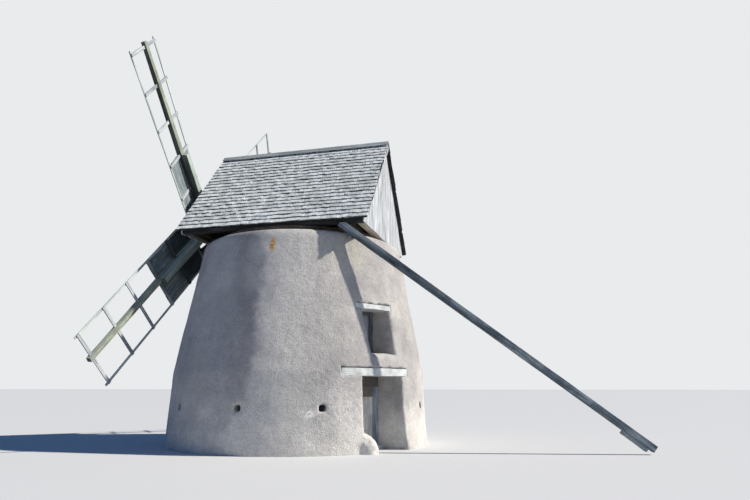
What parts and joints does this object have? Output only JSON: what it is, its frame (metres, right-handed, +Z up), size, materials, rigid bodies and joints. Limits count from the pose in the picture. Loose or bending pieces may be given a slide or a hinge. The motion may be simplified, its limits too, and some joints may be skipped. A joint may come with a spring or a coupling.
{
  "type": "windmill",
  "caption": "Tower windmill with a round plastered stone tower, a shingled gabled cap that turns, four open sails and a long tail pole.",
  "frame": {"origin": "centre of the tower's round base, on the ground", "axes": "+Z up; +X along the cap's length towards the tail pole, so the sails face -X at rest; +Y to the side of the cap away from the pictured side"},
  "size_m": [13.7169, 10.0968, 11.6894],
  "materials": {
    "lime_plaster": "matte",
    "limestone": "matte",
    "door_wood": "matte",
    "frame_timber": "matte",
    "roof_shingles": "matte",
    "gable_boards": "matte",
    "pole_timber": "matte",
    "wrought_iron": "matte",
    "stock_timber": "matte",
    "sail_timber": "matte"
  },
  "bodies": {
    "tower": {"wall_segment_1": "lime_plaster", "wall_segment_2": "lime_plaster", "wall_segment_3": "lime_plaster", "wall_segment_4": "lime_plaster", "wall_segment_5": "lime_plaster", "wall_segment_6": "lime_plaster", "door_left_jamb": "lime_plaster", "door_right_jamb": "lime_plaster", "wall_over_door": "lime_plaster", "window_left_jamb": "lime_plaster", "window_right_jamb": "lime_plaster", "wall_over_window": "lime_plaster", "stone_lintels": "limestone", "doorway_kerb": "lime_plaster", "door_threshold": "limestone", "door_frame": "door_wood", "window_frame": "door_wood", "window_shutter": "door_wood", "ground_floor": "limestone", "upper_floor": "frame_timber", "floor_joists": "frame_timber", "curb_ring": "frame_timber", "door_hinge_pins": "wrought_iron"},
    "cap": {"side_sills": "frame_timber", "end_sills": "frame_timber", "neck_beam": "frame_timber", "tail_beam": "frame_timber", "rafters": "frame_timber", "near_roof": "roof_shingles", "far_roof": "roof_shingles", "ridge_boards": "gable_boards", "verge_boards": "gable_boards", "front_gable": "gable_boards", "rear_gable": "gable_boards", "tail_pole": "pole_timber", "pole_shoe": "pole_timber", "pole_bolts": "wrought_iron"},
    "sails": {"windshaft": "stock_timber", "whips": "sail_timber", "sail_bars": "sail_timber", "long_laths": "sail_timber", "sail_boards": "sail_timber", "stocks": "stock_timber"},
    "door": {"door_leaf": "door_wood", "door_straps": "wrought_iron"}
  },
  "joints": [
    {"name": "cap_turn", "type": "hinge", "parent": "tower", "child": "cap", "pos_m": [0, 0, 5.93], "axis": [0, 0, 1], "continuous": true},
    {"name": "sail_turn", "type": "hinge", "parent": "cap", "child": "sails", "pos_m": [-3.504, 0, 6.65], "axis": [-0.9973, 0, 0.0732], "continuous": true},
    {"name": "door_swing", "type": "hinge", "parent": "tower", "child": "door", "pos_m": [1.94297, -1.86622, 0.9], "axis": [0, 0, 1], "range_deg": [0, 100]}
  ]
}
